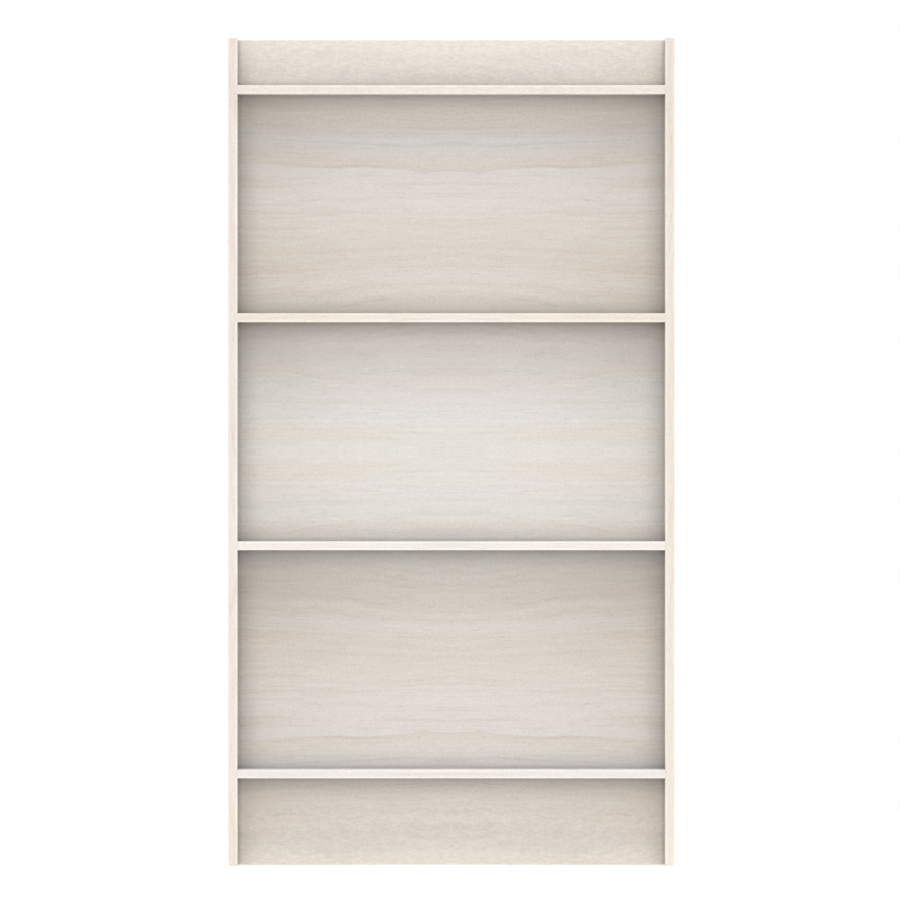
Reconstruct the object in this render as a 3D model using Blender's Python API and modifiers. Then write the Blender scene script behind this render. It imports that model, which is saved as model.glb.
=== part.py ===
"""A miniature bookcase at one twelfth of full size: two sides, four fixed shelves and a back panel.

Units are metres and +Z is up. The origin is on the floor, in the middle of the bookcase's footprint. The open
front faces -Y, and +X is to the right of someone looking in.

Every board is glued. Each end of a shelf is a tongue that sits in a housing cut in the side, and the housings
stop short of the front, so that the sides' front edges run unbroken. The back panel sits in a rebate along the
rear of each side.
"""

import bmesh
import bpy
from mathutils import Vector

MM = 0.001

# The whole bookcase
WIDTH = 75.0 * MM
DEPTH = 25.0 * MM
HEIGHT = 139.2 * MM

# The boards
BOARD = 1.5 * MM
BACK_BOARD = 1.0 * MM
EASED_EDGE = 0.1 * MM
EASING_STEPS = 2
PLANED_OFF = 0.5 * MM

# The joints
GLUE_LINE = 0.01 * MM
HOUSING_DEPTH = 0.5 * MM
HOUSING_STOP = 1.5 * MM
REBATE_WIDTH = 0.75 * MM

# The levels, measured from the floor, with the shelves named from the lowest up
SHELF_NAMES = ("bottom_shelf", "lower_shelf", "upper_shelf", "top_shelf")
BOTTOM_SHELF_TOP = 16.2 * MM
SHELF_PITCH = 38.38 * MM
BACK_PANEL_TOP = HEIGHT - 0.1 * MM

# Places that several boards share
INNER_FACE = WIDTH / 2 - BOARD
FRONT = -DEPTH / 2
REAR = DEPTH / 2
BACK_PANEL_FACE = REAR - BACK_BOARD

# How far a cutter runs past the board that it cuts
OVERCUT = 1.0 * MM

# Linear base colours of the pale, limed wood
SIDE_COLOUR = (0.83, 0.765, 0.69)
SHELF_COLOUR = (0.84, 0.775, 0.70)
BACK_COLOUR = (0.83, 0.78, 0.72)
WOOD_ROUGHNESS = 0.6


def remove_objects():
    """Empties the file of objects, so that the script can be run again in the same session."""
    for old in list(bpy.data.objects):
        bpy.data.objects.remove(old, do_unlink=True)


def new_collection(name):
    """A collection linked to the scene."""
    collection = bpy.data.collections.new(name)
    bpy.context.scene.collection.children.link(collection)
    return collection


def wood(name, colour):
    """A matt limed wood in one colour."""
    material = bpy.data.materials.new(name)
    material.use_nodes = True
    shader = material.node_tree.nodes["Principled BSDF"]
    shader.inputs["Base Color"].default_value = (*colour, 1.0)
    shader.inputs["Roughness"].default_value = WOOD_ROUGHNESS
    shader.inputs["Metallic"].default_value = 0.0
    return material


def make_box(name, corner, far_corner, collection):
    """A box between two opposite corners, with its origin at its centre."""
    start = Vector(corner)
    end = Vector(far_corner)
    extent = Vector(abs(length) for length in end - start)
    shape = bmesh.new()
    bmesh.ops.create_cube(shape, size=1.0)
    bmesh.ops.scale(shape, vec=extent, verts=shape.verts)
    mesh = bpy.data.meshes.new(name)
    shape.to_mesh(mesh)
    shape.free()
    box = bpy.data.objects.new(name, mesh)
    box.location = (start + end) / 2
    collection.objects.link(box)
    return box


def make_board(name, corner, far_corner, colour, parts, parent):
    """A board with every edge eased, as sanding leaves it."""
    board = make_box(name, corner, far_corner, parts)
    board.parent = parent
    board.data.materials.append(wood(name + "_wood", colour))
    easing = board.modifiers.new("eased_edges", "BEVEL")
    easing.width = EASED_EDGE
    easing.segments = EASING_STEPS
    easing.limit_method = "NONE"
    return board


def make_cutter(name, corner, far_corner, cutters):
    """A box that is taken away from a board and is never shown."""
    cutter = make_box(name, corner, far_corner, cutters)
    cutter.hide_render = True
    cutter.display_type = "WIRE"
    return cutter


def cut(board, cutter):
    """Takes the cutter's shape out of the board."""
    removal = board.modifiers.new(cutter.name, "BOOLEAN")
    removal.operation = "DIFFERENCE"
    removal.solver = "EXACT"
    removal.object = cutter


def shelf_top(level):
    """The height of a shelf's upper face, counting the levels from 0 at the bottom shelf."""
    return BOTTOM_SHELF_TOP + level * SHELF_PITCH


def make_planing_cutter(side_name, facing, cutters):
    """What is planed off a side's inner face, to leave square edges that a shelf's end meets without a groove."""
    corner = (facing * (INNER_FACE - PLANED_OFF - OVERCUT), FRONT - OVERCUT, -OVERCUT)
    far_corner = (facing * INNER_FACE, REAR + OVERCUT, HEIGHT + OVERCUT)
    return make_cutter(side_name + "_planing", corner, far_corner, cutters)


def make_rebate_cutter(side_name, facing, cutters):
    """The full-height step along a side's inner rear corner, which takes the back panel."""
    corner = (facing * (INNER_FACE - OVERCUT), BACK_PANEL_FACE - GLUE_LINE, -OVERCUT)
    far_corner = (facing * (INNER_FACE + REBATE_WIDTH), REAR + OVERCUT, HEIGHT + OVERCUT)
    return make_cutter(side_name + "_rebate", corner, far_corner, cutters)


def make_housing_cutter(side_name, facing, level, cutters):
    """The groove for one shelf end, which stops short of the front and runs out into the rebate."""
    top = shelf_top(level)
    corner = (facing * (INNER_FACE - OVERCUT), FRONT + HOUSING_STOP, top - BOARD - GLUE_LINE)
    far_corner = (facing * (INNER_FACE + HOUSING_DEPTH), BACK_PANEL_FACE + BACK_BOARD / 2, top + GLUE_LINE)
    return make_cutter(f"{side_name}_housing_{level + 1}", corner, far_corner, cutters)


def make_side(name, facing, parts, cutters, parent):
    """One upright side, with facing -1 for the left and 1 for the right."""
    corner = (facing * (INNER_FACE - PLANED_OFF), FRONT, 0.0)
    far_corner = (facing * WIDTH / 2, REAR, HEIGHT)
    side = make_board(name, corner, far_corner, SIDE_COLOUR, parts, parent)
    cut(side, make_planing_cutter(name, facing, cutters))
    cut(side, make_rebate_cutter(name, facing, cutters))
    for level in range(len(SHELF_NAMES)):
        cut(side, make_housing_cutter(name, facing, level, cutters))
    return side


def make_shoulder_cutter(shelf_name, facing, top, cutters):
    """The corner notch that shortens a shelf's front to the clear width between the sides."""
    corner = (facing * (INNER_FACE - GLUE_LINE), FRONT - OVERCUT, top - BOARD - OVERCUT)
    tongue_start = FRONT + HOUSING_STOP + GLUE_LINE
    far_corner = (facing * (WIDTH / 2 + OVERCUT), tongue_start, top + OVERCUT)
    end_name = "left" if facing < 0 else "right"
    return make_cutter(f"{shelf_name}_{end_name}_shoulder", corner, far_corner, cutters)


def make_shelf(name, level, parts, cutters, parent):
    """A fixed shelf with a tongue at each end, its front edge in line with the sides' front edges."""
    top = shelf_top(level)
    tongue_end = INNER_FACE + HOUSING_DEPTH - GLUE_LINE
    corner = (-tongue_end, FRONT, top - BOARD)
    far_corner = (tongue_end, BACK_PANEL_FACE - GLUE_LINE, top)
    shelf = make_board(name, corner, far_corner, SHELF_COLOUR, parts, parent)
    for facing in (-1, 1):
        cut(shelf, make_shoulder_cutter(name, facing, top, cutters))
    return shelf


def make_back_panel(parts, parent):
    """The thin sheet behind all the shelves, from the floor to just under the tops of the sides."""
    panel_edge = INNER_FACE + REBATE_WIDTH - GLUE_LINE
    corner = (-panel_edge, BACK_PANEL_FACE, 0.0)
    far_corner = (panel_edge, REAR, BACK_PANEL_TOP)
    return make_board("back_panel", corner, far_corner, BACK_COLOUR, parts, parent)


def make_bookcase():
    """Every board, under one empty at the origin."""
    parts = new_collection("miniature_bookcase")
    cutters = new_collection("cutters")
    bookcase = bpy.data.objects.new("bookcase_origin", None)
    parts.objects.link(bookcase)
    make_side("left_side", -1, parts, cutters, bookcase)
    make_side("right_side", 1, parts, cutters, bookcase)
    for level, name in enumerate(SHELF_NAMES):
        make_shelf(name, level, parts, cutters, bookcase)
    make_back_panel(parts, bookcase)


remove_objects()
make_bookcase()
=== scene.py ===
"""The looks of the miniature bookcase: limed wood, a white floor, soft studio light and a camera.

The bookcase's shapes come from the frame. Lengths are in millimetres, and so are depths in the log that the
boards were cut from. The wood is placed by the world's own x, y and z, so that the figure of the grain keeps
its size and runs on from board to board.
"""

import math

import bpy
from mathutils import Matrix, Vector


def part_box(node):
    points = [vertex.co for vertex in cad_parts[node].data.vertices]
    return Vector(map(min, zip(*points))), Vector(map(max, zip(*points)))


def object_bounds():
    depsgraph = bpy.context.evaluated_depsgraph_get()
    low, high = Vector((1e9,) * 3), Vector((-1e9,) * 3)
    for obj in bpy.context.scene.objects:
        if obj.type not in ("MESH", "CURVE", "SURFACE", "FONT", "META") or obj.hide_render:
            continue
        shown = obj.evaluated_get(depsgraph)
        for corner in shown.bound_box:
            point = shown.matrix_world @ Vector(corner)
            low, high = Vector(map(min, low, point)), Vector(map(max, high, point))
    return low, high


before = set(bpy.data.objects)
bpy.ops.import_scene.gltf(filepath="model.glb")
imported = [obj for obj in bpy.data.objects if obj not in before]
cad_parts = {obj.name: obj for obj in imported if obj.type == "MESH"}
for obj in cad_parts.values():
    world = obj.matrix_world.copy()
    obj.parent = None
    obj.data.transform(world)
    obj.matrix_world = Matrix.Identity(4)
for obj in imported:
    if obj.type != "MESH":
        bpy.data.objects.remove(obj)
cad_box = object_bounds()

MM = 0.001

# The bookcase, as the frame has it
WIDTH, DEPTH, HEIGHT = (cad_box[1] - cad_box[0]) / MM
FRONT = cad_box[0].y / MM
REAR = cad_box[1].y / MM
INNER_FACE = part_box("right_side")[0].x / MM
BACK_PANEL_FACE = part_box("back_panel")[0].y / MM
BOTTOM_SHELF_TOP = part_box("bottom_shelf")[1].z / MM
BOARD = BOTTOM_SHELF_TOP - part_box("bottom_shelf")[0].z / MM
BOTTOM_SHELF_MIDDLE = BOTTOM_SHELF_TOP - BOARD / 2
SHELF_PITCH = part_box("lower_shelf")[1].z / MM - BOTTOM_SHELF_TOP
TOP_SHELF_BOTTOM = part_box("top_shelf")[0].z / MM
BAYS_MIDDLE = (BOTTOM_SHELF_TOP + TOP_SHELF_BOTTOM) / 2
BAYS_HALF = (TOP_SHELF_BOTTOM - BOTTOM_SHELF_TOP) / 2

# The shelves from the lowest up, each cut from another strip and so with its own tint
SHELVES = {
    "bottom_shelf": (0.982, 0.998, 1.030),
    "lower_shelf": (0.968, 0.959, 0.958),
    "upper_shelf": (0.978, 0.976, 0.974),
    "top_shelf": (0.937, 0.940, 0.964),
}

# The sides: the depth that their rings are counted from, how far along the log their foot is, and the tint
SIDES = {
    "left_side": (30.0, 0.0, (0.985, 0.973, 0.965)),
    "right_side": (34.0, 300.0, (0.969, 0.954, 0.940)),
}

# Colours of the limed wood, linear
IVORY = (0.886, 0.844, 0.784)
CHALK = (0.880, 0.838, 0.786)
BUFF = (0.891, 0.828, 0.753)
OAT = (0.897, 0.820, 0.730)
CREAM = (0.828, 0.760, 0.683)
TAN = (0.800, 0.728, 0.650)
PEARL = (0.838, 0.780, 0.716)
SILVER = (0.850, 0.800, 0.750)
MOON = (0.852, 0.810, 0.778)
SAND = (0.860, 0.788, 0.708)
STRAW = (0.868, 0.817, 0.732)
STONE = (0.862, 0.808, 0.745)
LIME_HAZE = (0.870, 0.815, 0.755)
PALE_HEART = (0.874, 0.838, 0.766)

# What the layers of the wood, and two tints of painted light, do to its colour, as factors
GROWTH_LINE = (0.945, 0.925, 0.905)
STREAK = (0.962, 0.948, 0.938)
PORE = (0.930, 0.905, 0.880)
# Painted light: a paler, cooler tint on the faces inside the bookcase, offsetting the shade and the warm
# bounced light there
PAINTED_LIGHT_INSIDE = (1.020, 1.053, 1.095)
# Painted light: a paler tint on the back panel beside the sides, above and below the bays, offsetting the
# shade there
PAINTED_LIGHT_NEAR_SIDES = (1.075, 1.073, 1.069)
END_GRAIN = (0.935, 0.915, 0.890)

# The figure of the wood, as bands of colour by depth in the log. Depth 0 is halfway up the bookcase.
LOG_DEPTH = 70.0
LOG_BANDS = (
    (1.6, IVORY), (2.1, STRAW), (3.3, BUFF), (4.1, BUFF), (4.6, CHALK), (12.2, CHALK), (13.4, BUFF),
    (15.0, CHALK), (18.0, STONE), (21.5, SAND), (23.6, CREAM), (24.8, SAND), (26.2, CREAM), (27.6, PEARL),
    (29.2, CREAM), (31.5, TAN), (32.4, CREAM), (34.0, TAN), (36.5, CREAM), (41.5, PEARL), (46.7, PEARL),
    (47.8, SILVER), (48.6, TAN), (49.2, CREAM), (50.8, PEARL), (53.6, MOON), (55.8, CREAM), (58.0, SAND),
    (62.5, OAT), (64.2, CREAM), (66.3, CREAM), (68.5, OAT),
)

# Where the figure arches in the middle of the back panel: the depth, half the height, and the rise
ARCHES = ((12.5, 4.0, -1.4), (27.0, 9.0, 2.8), (54.0, 8.0, -1.3))

# Half the width of the arches and of the pale heart between them, and how strong the heart is
FIGURE_HALF_WIDTH = 19.0
HEART_HALF_WIDTH = 9.0
HEART_STRENGTH = 0.7

# How much deeper into the log a shelf's rings are for each mm behind its front edge
SHELF_TURN = 0.4

# How much deeper a side's rings are for each mm from the middle of the bookcase
SIDE_TURN = 0.6

# The other slice of the log, which shows on the back panel's rear
OTHER_SLICE_SHIFT = 14.0
OTHER_SLICE_START = 25.0
OTHER_SLICE_SLOPE = 0.8
OTHER_SLICE_TURNS_AT = 68.0
OTHER_SLICE_WANDER = 0.5

# Depths in the log where a change in the figure starts, and where it is complete
WANDER_GROWS = (3.0, 14.0)
HEART_COMES_IN = (6.0, 4.0)
LINES_COME_IN = (8.0, 26.0)
STREAKS_COME_IN = (10.0, 28.0)
FLECKS_COME_IN = (57.0, 62.0)

# How far the rings wander near the heart, farther out, and in the sides
HEART_WANDER = 0.8
OUTER_WANDER = 4.0
SIDE_WANDER = 22.0

# How much of a fine ripple joins the wander in the flecked wood
RIPPLE = 0.6

# The noise behind each layer: the cells per mm along the grain, those across it, and the detail
WANDER_NOISE = (0.045, 0.10, 3.0)
SIDE_WANDER_NOISE = (0.012, 0.03, 3.0)
RIPPLE_NOISE = (0.25, 0.25, 2.0)
CLOUD_NOISE = (0.03, 0.16, 3.0)
LINE_BREAK_NOISE = (0.05, 0.9, 2.0)
FIBRE_NOISE = (0.16, 2.0, 3.0)
FLECK_NOISE = (0.9, 2.2, 2.0)
PORE_NOISE = (0.5, 4.2, 1.0)
SPECKLE_NOISE = (2.3, 2.8, 1.0)
WEAR_AND_HIGHLIGHT_PATCH_NOISE = (0.25, 0.5, 2.0)
NOISE_MIDDLE = 0.5
ROUGH_NOISE = 0.6

# The noise behind the growth lines and the streaks: the cells per mm of depth, along the grain, and by seed
LINE_NOISE = (0.85, 0.012, 0.0)
STREAK_NOISE = (1.5, 0.025, 1.0)
STREAK_SEED = 7.0

# The values of the noise where each layer starts, and where it is complete
CLOUDS_SHOW = (0.45, 0.75)
PORES_SHOW = (0.63, 0.76)
STREAKS_SHOW = (0.46, 0.70)
LINES_SHOW = (0.40, 0.62)
WEAR_AND_HIGHLIGHT_PATCHES_SHOW = (0.25, 0.60)

# How far from the middle value of its noise a growth line starts, and where it is complete
LINE_EDGE = (0.046, 0.006)

# How strong the layers are
CLOUD_STRENGTH = 0.30
FIBRE_CONTRAST = 0.15
FLECK_CONTRAST = 0.26
SPECKLE_CONTRAST = 0.20
LINES_IN_HEART = 0.5
STREAKS_IN_HEART = 0.4
LINES_AMONG_FLECKS = 0.35
STREAKS_AMONG_FLECKS = 0.5

# The relief and the gloss of the surface
FIBRE_HEIGHT = 0.6
SPECKLE_HEIGHT = 0.4
PORE_HEIGHT = -0.5
RELIEF = 0.02
RELIEF_STRENGTH = 0.25
LEAST_ROUGHNESS = 0.5
FIBRE_ROUGHNESS = 0.25
PORE_ROUGHNESS = 0.12
SPECULAR_LEVEL = 0.35

# How much painted shade darkens the wood right up against another board, and what a painted shadow in the
# joint adds to that
IN_CORNERS = 0.25
UNDER_SHELF = 0.38
IN_JOINT = 0.12

# The same painted shade beside the sides on the back panel, above and below the bays, and what a thin line
# of painted shade adds to that
BEYOND_BAYS = 0.10
THIN_SHADE = 0.14

# The amount of a wide painted shade under each shelf, which grows from 0 at the top shelf to this at the
# bottom one
LOW_DOWN = 0.09

# How far the painted shade reaches from the other board, and how steeply it grows
SHADE_REACH = 4.0
JOINT_REACH = 0.9
THIN_SHADE_REACH = 0.7
SHADE_POWER = 1.5

# How near a shelf the back panel's painted shade beside the sides starts to fade, and how much is left at
# the shelf
NEAR_SHELF_REACH = 6.0
LEFT_NEAR_SHELF = 0.6

# Where the painted light beside the sides starts and where it is full, by distance from the sides, and how
# much of it is left high up
PAINTED_LIGHT_NEAR_SIDES_STARTS = (18.0, 3.0)
PAINTED_LIGHT_NEAR_SIDES_HIGH_UP = 0.6

# Distances where a board's face or edge starts, and where it is complete
INSIDE = (0.1, 0.6)
INNER_SKIN = (0.15, 0.05)
PANEL_SKIN = (0.4, 0.2)
END_SKIN = (0.10, 0.02)
CLEAR_OF_SHELF = (-0.1, 0.15)
ARRIS = (0.42, 0.24)

# How much paler the arrises are from wear and a painted highlight, and how much of that is left in its
# weakest patches
SHELF_WEAR_AND_HIGHLIGHT = 0.085
INNER_WEAR_AND_HIGHLIGHT = 0.10
OUTER_WEAR_AND_HIGHLIGHT = 0.02
LEAST_WEAR_AND_HIGHLIGHT = 0.6

# The floor, and the pool of painted glow on it, which is twice as wide as it is deep
FLOOR_RADIUS = 1000.0
FLOOR_POINTS = 128
GLOW_FADES = (140.0, 30.0)
GLOW_FAR = 0.12
GLOW_NEAR = 0.24
GLOW_STRETCH = (0.5, 1.0, 1.0)

# The lamps: the name, then the elevation, azimuth from the front and width across in degrees, and the level
SUNS = (
    ("front_high", 23, 0, 22, 0.155),
    ("front_steep", 42, 0, 26, 0.085),
    ("top", 80, 0, 60, 0.08),
    ("rear", 35, 155, 30, 0.10),
)

# The fill from all round
WHITE = (1.0, 1.0, 1.0, 1.0)
FILL = 0.68

# The camera, the width of its picture at the bookcase's front, and how far off the middle it stands
LENS = 1600
SENSOR_WIDTH = 36
PICTURE_WIDTH = 151.39
CAMERA_RIGHT = -0.22
CAMERA_UP = 0.34
FARTHEST_SEEN = 20000.0


class Recipe:
    """The node tree of one material, with short calls for the nodes that the wood is made from."""

    def __init__(self, name):
        self.material = bpy.data.materials.new(name)
        self.material.use_nodes = True
        self.tree = self.material.node_tree
        self.shader = self.tree.nodes["Principled BSDF"]

    def node(self, kind, **settings):
        node = self.tree.nodes.new(kind)
        for setting, value in settings.items():
            setattr(node, setting, value)
        return node

    def feed(self, socket, value):
        """Gives an input a link if value is a socket, and a constant if it isn't."""
        if isinstance(value, bpy.types.NodeSocket):
            self.tree.links.new(value, socket)
        else:
            socket.default_value = value

    def math(self, operation, *values, clamp=False):
        node = self.node("ShaderNodeMath", operation=operation, use_clamp=clamp)
        for socket, value in zip(node.inputs, values):
            self.feed(socket, value)
        return node.outputs[0]

    def distance(self, value, place):
        """How far value is from place, whichever side it is on."""
        return self.math("ABSOLUTE", self.math("SUBTRACT", value, place))

    def choose(self, choice, first, second):
        """The number first where choice is 0, and second where it is 1."""
        return self.math("MULTIPLY_ADD", choice, self.math("SUBTRACT", second, first), first)

    def combine(self, x, y, z):
        node = self.node("ShaderNodeCombineXYZ")
        for socket, value in zip(node.inputs, (x, y, z)):
            self.feed(socket, value)
        return node.outputs[0]

    def stretch(self, vector, factors):
        node = self.node("ShaderNodeVectorMath", operation="MULTIPLY")
        self.feed(node.inputs[0], vector)
        self.feed(node.inputs[1], factors)
        return node.outputs[0]

    def noise(self, vector, detail, roughness=0.5):
        """Noise of about one cell per unit of vector, from 0 to 1 and mostly near NOISE_MIDDLE."""
        node = self.node("ShaderNodeTexNoise")
        self.feed(node.inputs["Vector"], vector)
        node.inputs["Scale"].default_value = 1.0
        node.inputs["Detail"].default_value = detail
        node.inputs["Roughness"].default_value = roughness
        return node.outputs["Fac"]

    def step(self, value, start, end, low=0.0, high=1.0):
        """A smooth change from low, where value is start, to high, where it is end."""
        node = self.node("ShaderNodeMapRange", interpolation_type="SMOOTHSTEP")
        for name, number in (("From Min", start), ("From Max", end), ("To Min", low), ("To Max", high)):
            node.inputs[name].default_value = number
        self.feed(node.inputs["Value"], value)
        return node.outputs["Result"]

    def hump(self, value, middle, half_width):
        """A bell curve: 1 where value is middle, and about a third at half_width from it."""
        offset = self.math("DIVIDE", self.math("SUBTRACT", value, middle), half_width)
        squared = self.math("MULTIPLY", offset, offset)
        return self.math("POWER", math.e, self.math("MULTIPLY", squared, -1.0))

    def mix(self, factor, first, second, blend="MIX"):
        node = self.node("ShaderNodeMix", data_type="RGBA", blend_type=blend)
        self.feed(node.inputs["Factor"], factor)
        for name, colour in (("A", first), ("B", second)):
            if isinstance(colour, tuple):
                colour = (*colour, 1.0)
            self.feed(self.colour_input(node, name), colour)
        return next(socket for socket in node.outputs if socket.type == "RGBA")

    @staticmethod
    def colour_input(node, name):
        """The colour input of a mix node, which has number and vector inputs of the same name."""
        return next(socket for socket in node.inputs if socket.name == name and socket.type == "RGBA")

    def bands(self, value, depth, stops):
        """A colour for each value from 0 to depth, changing evenly from stop to stop."""
        node = self.node("ShaderNodeValToRGB")
        elements = node.color_ramp.elements
        elements[0].position = stops[0][0] / depth
        elements[1].position = stops[-1][0] / depth
        for position, _ in stops[1:-1]:
            elements.new(position / depth)
        for element, (_, colour) in zip(elements, stops):
            element.color = (*colour, 1.0)
        self.feed(node.inputs["Fac"], self.math("DIVIDE", value, depth))
        return node.outputs["Color"]


class Wood:
    """One board's wood: where the point is in the log, and the layers that its colour is built up from."""

    def __init__(self, name):
        self.recipe = Recipe(name)
        coordinates = self.recipe.node("ShaderNodeTexCoord").outputs["Object"]
        millimetres = self.recipe.stretch(coordinates, (1 / MM, 1 / MM, 1 / MM))
        split = self.recipe.node("ShaderNodeSeparateXYZ")
        self.recipe.feed(split.inputs[0], millimetres)
        self.x, self.y, self.z = split.outputs
        self.half_x = self.recipe.math("ABSOLUTE", self.x)
        self.behind_front = self.recipe.math("SUBTRACT", self.y, FRONT)
        self.from_middle = self.recipe.distance(self.z, HEIGHT / 2)

    def along_grain(self, along, across, detail, roughness=0.5):
        """Noise with this many cells per mm along the grain and across it."""
        cells = self.recipe.stretch(self.grain, (along, across, across))
        return self.recipe.noise(cells, detail, roughness)

    def drift(self, along, across, detail, roughness=0.5):
        """The same noise, as a number above or below 0."""
        noise = self.along_grain(along, across, detail, roughness)
        return self.recipe.math("SUBTRACT", noise, NOISE_MIDDLE)

    def lay_grain_across(self, turn, turned_over=0.0):
        """Grain that runs from side to side, mirrored left and right and above and below the middle.

        Where turned_over is 1, the wood shows another slice of the log, with one off-centre figure.
        """
        recipe = self.recipe
        self.along = recipe.choose(turned_over, self.half_x, recipe.math("ADD", self.x, OTHER_SLICE_SHIFT))
        across = recipe.choose(turned_over, self.from_middle, recipe.math("ADD", self.z, HEIGHT))
        self.grain = recipe.combine(self.along, across, self.y)
        other_slice = recipe.math("MULTIPLY_ADD", self.z, OTHER_SLICE_SLOPE, OTHER_SLICE_START)
        other_slice = recipe.math("PINGPONG", other_slice, OTHER_SLICE_TURNS_AT)
        depth = recipe.choose(turned_over, self.from_middle, other_slice)
        arched = recipe.math("SUBTRACT", depth, self.lift(depth))
        ripple = recipe.step(depth, *FLECKS_COME_IN, high=RIPPLE)
        wander = self.drift(*WANDER_NOISE, roughness=ROUGH_NOISE)
        wander = recipe.math("MULTIPLY_ADD", self.drift(*RIPPLE_NOISE), ripple, wander)
        reach = recipe.step(depth, *WANDER_GROWS, low=HEART_WANDER, high=OUTER_WANDER)
        reach = recipe.math("MULTIPLY", reach, recipe.choose(turned_over, 1.0, OTHER_SLICE_WANDER))
        wandering = recipe.math("MULTIPLY_ADD", wander, reach, arched)
        self.ring = recipe.math("MULTIPLY_ADD", self.behind_front, turn, wandering)

    def lift(self, depth):
        """How far the arches in the middle of the figure push out the rings at this depth."""
        recipe = self.recipe
        lift = 0.0
        for level, half_height, rise in ARCHES:
            lift = recipe.math("MULTIPLY_ADD", recipe.hump(depth, level, half_height), rise, lift)
        return recipe.math("MULTIPLY", lift, recipe.hump(self.along, 0.0, FIGURE_HALF_WIDTH))

    def lay_grain_upright(self, first_ring, foot):
        """Grain that runs up the board, with the rings counted from the front edge to the rear."""
        recipe = self.recipe
        self.along = recipe.math("ADD", self.z, foot)
        self.grain = recipe.combine(self.along, self.y, self.x)
        depth = recipe.math("ADD", self.y, first_ring)
        depth = recipe.math("MULTIPLY_ADD", self.drift(*SIDE_WANDER_NOISE), SIDE_WANDER, depth)
        self.ring = recipe.math("MULTIPLY_ADD", self.half_x, SIDE_TURN, depth)

    def paint(self):
        """The colour, roughness and relief of the wood itself."""
        recipe = self.recipe
        self.flecked = recipe.step(self.ring, *FLECKS_COME_IN)
        flecks = self.along_grain(*FLECK_NOISE)
        fibres = recipe.choose(self.flecked, self.along_grain(*FIBRE_NOISE), flecks)
        speckle = self.along_grain(*SPECKLE_NOISE)
        pores = recipe.step(self.along_grain(*PORE_NOISE), *PORES_SHOW)
        clouds = recipe.step(self.along_grain(*CLOUD_NOISE), *CLOUDS_SHOW, high=CLOUD_STRENGTH)
        colour = recipe.bands(self.ring, LOG_DEPTH, LOG_BANDS)
        colour = recipe.mix(clouds, colour, LIME_HAZE)
        colour = recipe.mix(self.streaks(), colour, STREAK, "MULTIPLY")
        colour = recipe.mix(self.growth_lines(), colour, GROWTH_LINE, "MULTIPLY")
        colour = recipe.mix(self.heart(), colour, PALE_HEART)
        self.colour = recipe.mix(pores, colour, PORE, "MULTIPLY")
        self.shade_fibres(fibres, speckle)
        self.emboss(fibres, speckle, pores)
        roughness = recipe.math("MULTIPLY_ADD", fibres, FIBRE_ROUGHNESS, LEAST_ROUGHNESS)
        roughness = recipe.math("MULTIPLY_ADD", pores, PORE_ROUGHNESS, roughness)
        recipe.feed(recipe.shader.inputs["Roughness"], roughness)
        recipe.shader.inputs["Specular IOR Level"].default_value = SPECULAR_LEVEL

    def shade_fibres(self, fibres, speckle):
        """Starts the shade off with the light and dark of the fibres, or flecks, and the speckle."""
        recipe = self.recipe
        contrast = recipe.choose(self.flecked, FIBRE_CONTRAST, FLECK_CONTRAST)
        fibre_shade = recipe.math("MULTIPLY", recipe.math("SUBTRACT", fibres, NOISE_MIDDLE), contrast)
        speckle_shade = recipe.math("MULTIPLY_ADD", speckle, SPECKLE_CONTRAST, 1.0 - SPECKLE_CONTRAST / 2)
        self.shade = recipe.math("MULTIPLY", recipe.math("ADD", fibre_shade, 1.0), speckle_shade)

    def emboss(self, fibres, speckle, pores):
        """The relief: raised fibres, a fine tooth, and sunken pores."""
        recipe = self.recipe
        height = recipe.math("MULTIPLY", speckle, SPECKLE_HEIGHT)
        height = recipe.math("MULTIPLY_ADD", fibres, FIBRE_HEIGHT, height)
        height = recipe.math("MULTIPLY_ADD", pores, PORE_HEIGHT, height)
        bump = recipe.node("ShaderNodeBump")
        bump.inputs["Strength"].default_value = RELIEF_STRENGTH
        bump.inputs["Distance"].default_value = RELIEF * MM
        recipe.feed(bump.inputs["Height"], height)
        recipe.feed(recipe.shader.inputs["Normal"], bump.outputs["Normal"])

    def growth_lines(self):
        """Thin lines that follow the rings, unevenly spaced and coming and going along the board."""
        recipe = self.recipe
        place = recipe.combine(self.ring, self.along, 0.0)
        rings = recipe.noise(recipe.stretch(place, LINE_NOISE), detail=1.0)
        line = recipe.step(recipe.distance(rings, NOISE_MIDDLE), *LINE_EDGE)
        strength = recipe.step(self.along_grain(*LINE_BREAK_NOISE), *LINES_SHOW)
        outward = recipe.step(self.ring, *LINES_COME_IN, low=LINES_IN_HEART)
        strength = recipe.math("MULTIPLY", strength, outward)
        among_flecks = recipe.choose(self.flecked, 1.0, LINES_AMONG_FLECKS)
        strength = recipe.math("MULTIPLY", strength, among_flecks)
        return recipe.math("MULTIPLY", line, strength)

    def streaks(self):
        """Soft brown streaks between the lines, fewer in the pale wood near the heart of the log."""
        recipe = self.recipe
        place = recipe.combine(self.ring, self.along, STREAK_SEED)
        streaks = recipe.noise(recipe.stretch(place, STREAK_NOISE), detail=2.0, roughness=ROUGH_NOISE)
        strength = recipe.step(self.ring, *STREAKS_COME_IN, low=STREAKS_IN_HEART)
        among_flecks = recipe.choose(self.flecked, 1.0, STREAKS_AMONG_FLECKS)
        strength = recipe.math("MULTIPLY", strength, among_flecks)
        return recipe.math("MULTIPLY", recipe.step(streaks, *STREAKS_SHOW), strength)

    def heart(self):
        """The heart of the log, where the stripes fade out in the middle of the figure."""
        recipe = self.recipe
        in_middle = recipe.hump(self.along, 0.0, HEART_HALF_WIDTH)
        in_middle = recipe.math("MULTIPLY", in_middle, HEART_STRENGTH)
        return recipe.math("MULTIPLY", in_middle, recipe.step(self.ring, *HEART_COMES_IN))

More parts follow.
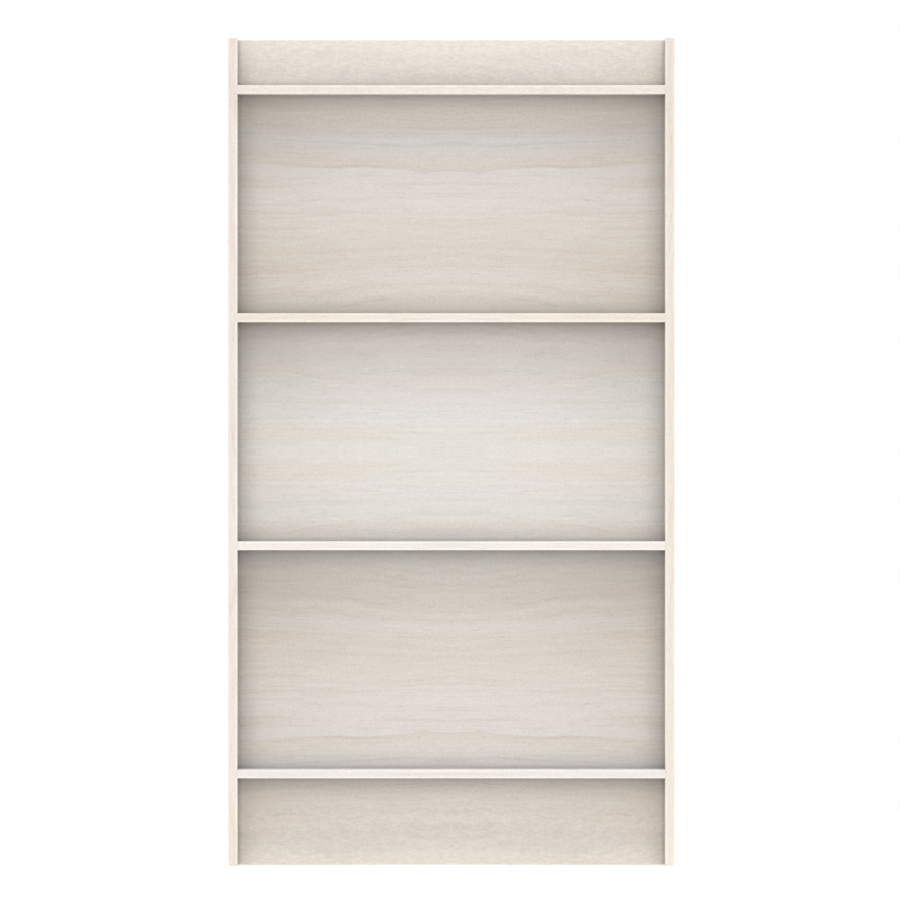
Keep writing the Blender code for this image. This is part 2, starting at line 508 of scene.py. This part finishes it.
    def shelf_distances(self):
        """How far the point is above the shelf below it, and below the shelf above it."""
        recipe = self.recipe
        from_bottom_shelf = recipe.math("SUBTRACT", self.z, BOTTOM_SHELF_MIDDLE)
        from_shelf = recipe.math("WRAP", from_bottom_shelf, SHELF_PITCH, 0.0)
        above = recipe.math("SUBTRACT", from_shelf, BOARD / 2)
        below = recipe.math("SUBTRACT", SHELF_PITCH - BOARD / 2, from_shelf)
        return above, below

    def side_distance(self):
        """How far the point is from the inner face of the nearest side."""
        return self.recipe.math("SUBTRACT", INNER_FACE, self.half_x)

    def panel_distance(self):
        """How far the point is in front of the back panel."""
        return self.recipe.math("SUBTRACT", BACK_PANEL_FACE, self.y)

    def wash(self, tint, where=1.0):
        """Multiplies the wood's colour by a tint, as a thin wash of stain or lime does."""
        self.colour = self.recipe.mix(where, self.colour, tint, "MULTIPLY")

    def dim(self, dark, where):
        """Takes a part of the wood's brightness away, as painted shade: dark says how much of it, from 0 to
        1.
        """
        recipe = self.recipe
        dark = recipe.math("MULTIPLY", dark, where)
        self.shade = recipe.math("MULTIPLY", self.shade, recipe.math("SUBTRACT", 1.0, dark))

    def darken(self, distance, reach, amount, where=1.0):
        """Paints shade on the wood: darker by amount where distance is 0, and less and less as far as reach.
        """
        recipe = self.recipe
        nearness = recipe.math("SUBTRACT", 1.0, recipe.math("DIVIDE", distance, reach), clamp=True)
        self.dim(recipe.math("MULTIPLY", recipe.math("POWER", nearness, SHADE_POWER), amount), where)

    def paint_corner_shade(self, distance, where=1.0, amount=IN_CORNERS):
        """Darkens the wood toward a board that meets it with painted shade, and more in the joint with a
        painted shadow.
        """
        self.darken(distance, SHADE_REACH, amount, where)
        self.dim(self.recipe.step(distance, JOINT_REACH, 0.0, high=IN_JOINT), where)

    def wear_and_highlight_arris(self, distance, amount, where=1.0):
        """Pales the wood along an arris, unevenly: wear from handling, and a painted highlight where the
        arris catches the light.
        """
        recipe = self.recipe
        patchy = recipe.step(self.along_grain(*WEAR_AND_HIGHLIGHT_PATCH_NOISE), *WEAR_AND_HIGHLIGHT_PATCHES_SHOW, low=LEAST_WEAR_AND_HIGHLIGHT)
        paled = recipe.math("MULTIPLY", recipe.step(distance, *ARRIS), patchy)
        paled = recipe.math("MULTIPLY", paled, where)
        self.shade = recipe.math("MULTIPLY", self.shade, recipe.math("MULTIPLY_ADD", paled, amount, 1.0))

    def finish(self):
        """Joins the colour and the shade and gives the material."""
        recipe = self.recipe
        shaded = recipe.node("ShaderNodeVectorMath", operation="SCALE")
        recipe.feed(shaded.inputs[0], self.colour)
        recipe.feed(shaded.inputs["Scale"], self.shade)
        recipe.feed(recipe.shader.inputs["Base Color"], shaded.outputs[0])
        return recipe.material


def shelf_wood(name, level, tint):
    """A shelf: a paler, cooler tint of painted light behind its front edge, painted shade where it meets
    other boards, and wear with a painted highlight at the front.
    """
    wood = Wood(name)
    recipe = wood.recipe
    wood.lay_grain_across(SHELF_TURN)
    wood.paint()
    wood.wash(tint)
    inside = recipe.step(wood.behind_front, *INSIDE)
    # Painted light and shade: a paler, cooler tint behind the front edge, and shade toward the sides and the
    # back panel
    wood.wash(PAINTED_LIGHT_INSIDE, inside)
    wood.paint_corner_shade(wood.side_distance(), inside)
    wood.paint_corner_shade(wood.panel_distance())
    from_shelf_middle = recipe.distance(wood.z, BOTTOM_SHELF_MIDDLE + level * SHELF_PITCH)
    from_face = recipe.math("SUBTRACT", BOARD / 2, from_shelf_middle)
    # Wear along the front arrises, with a painted highlight
    wood.wear_and_highlight_arris(recipe.math("MAXIMUM", from_face, wood.behind_front), SHELF_WEAR_AND_HIGHLIGHT)
    return wood.finish()


def side_wood(name, first_ring, foot, tint):
    """A side: dark end grain, an inner face with a paler, cooler tint of painted light and painted shade,
    and arrises worn and given a painted highlight.
    """
    wood = Wood(name)
    recipe = wood.recipe
    wood.lay_grain_upright(first_ring, foot)
    wood.paint()
    wood.wash(tint)
    from_end = recipe.math("SUBTRACT", HEIGHT / 2, wood.from_middle)
    wood.wash(END_GRAIN, recipe.step(from_end, *END_SKIN))
    past_inner_face = recipe.math("SUBTRACT", wood.half_x, INNER_FACE)
    on_inner_face = recipe.step(past_inner_face, *INNER_SKIN)
    inside = recipe.math("MULTIPLY", on_inner_face, recipe.step(wood.behind_front, *INSIDE))
    above_shelf, below_shelf = wood.shelf_distances()
    # Painted light and shade on the inner face: a paler, cooler tint, and shade toward the shelves and the
    # back panel
    wood.wash(PAINTED_LIGHT_INSIDE, inside)
    wood.paint_corner_shade(above_shelf, inside)
    wood.paint_corner_shade(below_shelf, inside, UNDER_SHELF)
    wood.paint_corner_shade(wood.panel_distance(), inside)
    between_shelves = recipe.step(recipe.math("MINIMUM", above_shelf, below_shelf), *CLEAR_OF_SHELF)
    from_inner_arris = recipe.math("MAXIMUM", past_inner_face, wood.behind_front)
    # Wear along the arrises, with a painted highlight
    wood.wear_and_highlight_arris(from_inner_arris, INNER_WEAR_AND_HIGHLIGHT, between_shelves)
    from_outer_face = recipe.math("SUBTRACT", WIDTH / 2, wood.half_x)
    from_front_or_rear = recipe.math("SUBTRACT", DEPTH / 2, recipe.math("ABSOLUTE", wood.y))
    wood.wear_and_highlight_arris(recipe.math("MAXIMUM", from_outer_face, from_front_or_rear), OUTER_WEAR_AND_HIGHLIGHT)
    return wood.finish()


def back_wood(name):
    """The back panel: another slice of the log on its rear, and a face with painted light and painted shade.
    """
    wood = Wood(name)
    recipe = wood.recipe
    on_rear = recipe.math("GREATER_THAN", wood.y, (BACK_PANEL_FACE + REAR) / 2)
    wood.lay_grain_across(turn=0.0, turned_over=on_rear)
    wood.paint()
    on_face = recipe.step(recipe.math("SUBTRACT", wood.y, BACK_PANEL_FACE), *PANEL_SKIN)
    # Painted light: a paler, cooler tint on the face
    wood.wash(PAINTED_LIGHT_INSIDE, on_face)
    beyond_bays = recipe.step(recipe.distance(wood.z, BAYS_MIDDLE), BAYS_HALF, BAYS_HALF + BOARD)
    on_face_beyond = recipe.math("MULTIPLY", on_face, beyond_bays)
    in_bays = recipe.math("SUBTRACT", on_face, on_face_beyond)
    # Painted light: a paler tint beside the sides, above and below the bays
    wood.wash(PAINTED_LIGHT_NEAR_SIDES, painted_light_near_sides(wood, on_face_beyond))
    above_shelf, below_shelf = wood.shelf_distances()
    from_shelf = recipe.math("MINIMUM", above_shelf, below_shelf)
    # Painted shade toward the sides and the shelves
    beside_sides = recipe.choose(beyond_bays, IN_CORNERS, BEYOND_BAYS)
    near_shelf = recipe.step(from_shelf, 0.0, NEAR_SHELF_REACH, low=LEFT_NEAR_SHELF)
    beside_sides = recipe.math("MULTIPLY", beside_sides, near_shelf)
    wood.paint_corner_shade(wood.side_distance(), on_face, beside_sides)
    wood.darken(wood.side_distance(), THIN_SHADE_REACH, THIN_SHADE, on_face_beyond)
    wood.darken(above_shelf, THIN_SHADE_REACH, THIN_SHADE, on_face_beyond)
    wood.paint_corner_shade(above_shelf, on_face)
    wood.paint_corner_shade(below_shelf, on_face, UNDER_SHELF)
    # Painted shade: a wide shade under each shelf, stronger in the lower bays
    low_down = recipe.step(wood.z, TOP_SHELF_BOTTOM, BOTTOM_SHELF_TOP, high=LOW_DOWN)
    wood.darken(below_shelf, SHELF_PITCH, low_down, in_bays)
    return wood.finish()


def painted_light_near_sides(wood, beyond_bays):
    """Where painted light pales the back panel: beside the sides, above the top shelf and below the bottom
    shelf.
    """
    recipe = wood.recipe
    near_sides = recipe.step(wood.side_distance(), *PAINTED_LIGHT_NEAR_SIDES_STARTS)
    below_top_edge = recipe.step(wood.z, HEIGHT, TOP_SHELF_BOTTOM + BOARD)
    low_down = recipe.step(wood.z, TOP_SHELF_BOTTOM, BOTTOM_SHELF_TOP, low=PAINTED_LIGHT_NEAR_SIDES_HIGH_UP)
    painted_lift = recipe.math("MULTIPLY", beyond_bays, near_sides)
    painted_lift = recipe.math("MULTIPLY", painted_lift, below_top_edge)
    return recipe.math("MULTIPLY", painted_lift, low_down)


def dress(node_name, material):
    """Puts a material in every slot of a board."""
    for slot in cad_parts[node_name].material_slots:
        slot.material = material


def dress_boards():
    """Gives every board its own wood."""
    for level, (shelf, tint) in enumerate(SHELVES.items()):
        dress(shelf, shelf_wood(shelf + "_limed", level, tint))
    for side, (first_ring, foot, tint) in SIDES.items():
        dress(side, side_wood(side + "_limed", first_ring, foot, tint))
    dress("back_panel", back_wood("back_panel_limed"))


def add_floor():
    """A white floor with a painted glow, a little all over and most around the bookcase, which lights the
    foot of the bookcase.
    """
    bpy.ops.mesh.primitive_circle_add(
        vertices=FLOOR_POINTS, radius=FLOOR_RADIUS * MM, fill_type="NGON", location=(0, 0, 0)
    )
    floor = bpy.context.object
    floor.name = "floor"
    recipe = Recipe("floor_white")
    recipe.shader.inputs["Base Color"].default_value = WHITE
    recipe.shader.inputs["Roughness"].default_value = 1.0
    recipe.shader.inputs["Specular IOR Level"].default_value = 0.0
    recipe.shader.inputs["Emission Color"].default_value = WHITE
    coordinates = recipe.node("ShaderNodeTexCoord").outputs["Object"]
    from_middle = recipe.node("ShaderNodeVectorMath", operation="LENGTH")
    recipe.feed(from_middle.inputs[0], recipe.stretch(coordinates, GLOW_STRETCH))
    glow_starts, glow_full = (distance * MM for distance in GLOW_FADES)
    glow = recipe.step(from_middle.outputs["Value"], glow_starts, glow_full, low=GLOW_FAR, high=GLOW_NEAR)
    # Painted glow: the floor gives off light, most around the bookcase
    recipe.feed(recipe.shader.inputs["Emission Strength"], glow)
    floor.data.materials.append(recipe.material)


def add_sun(name, elevation, azimuth, diameter, level):
    """A distant lamp, where level is the brightness that it gives a white card facing it."""
    data = bpy.data.lights.new(name, "SUN")
    data.energy = level * math.pi
    data.angle = math.radians(diameter)
    lamp = bpy.data.objects.new(name, data)
    bpy.context.scene.collection.objects.link(lamp)
    lamp.rotation_euler = (math.radians(90 - elevation), 0, math.radians(azimuth))


def add_background(tree, strength):
    """A white background shader for the world."""
    background = tree.nodes.new("ShaderNodeBackground")
    background.inputs["Color"].default_value = WHITE
    background.inputs["Strength"].default_value = strength
    return background


def add_world():
    """An even fill from all round, behind which the camera sees plain white."""
    world = bpy.data.worlds.new("studio")
    world.use_nodes = True
    tree = world.node_tree
    tree.nodes.clear()
    fill = add_background(tree, FILL)
    seen = add_background(tree, 1.0)
    path = tree.nodes.new("ShaderNodeLightPath")
    choice = tree.nodes.new("ShaderNodeMixShader")
    out = tree.nodes.new("ShaderNodeOutputWorld")
    tree.links.new(path.outputs["Is Camera Ray"], choice.inputs[0])
    tree.links.new(fill.outputs[0], choice.inputs[1])
    tree.links.new(seen.outputs[0], choice.inputs[2])
    tree.links.new(choice.outputs[0], out.inputs[0])
    bpy.context.scene.world = world


def add_camera():
    """A long lens, about level with the middle of the bookcase and square to its front."""
    data = bpy.data.cameras.new("camera")
    data.lens = LENS
    data.sensor_width = SENSOR_WIDTH
    data.clip_end = FARTHEST_SEEN * MM
    camera = bpy.data.objects.new("camera", data)
    bpy.context.scene.collection.objects.link(camera)
    distance = PICTURE_WIDTH * LENS / SENSOR_WIDTH
    camera.location = (CAMERA_RIGHT * MM, (FRONT - distance) * MM, (HEIGHT / 2 + CAMERA_UP) * MM)
    camera.rotation_euler = (math.radians(90), 0, 0)
    bpy.context.scene.camera = camera


dress_boards()
add_floor()
add_world()
for sun in SUNS:
    add_sun(*sun)
add_camera()
bpy.context.scene.view_settings.view_transform = "Standard"
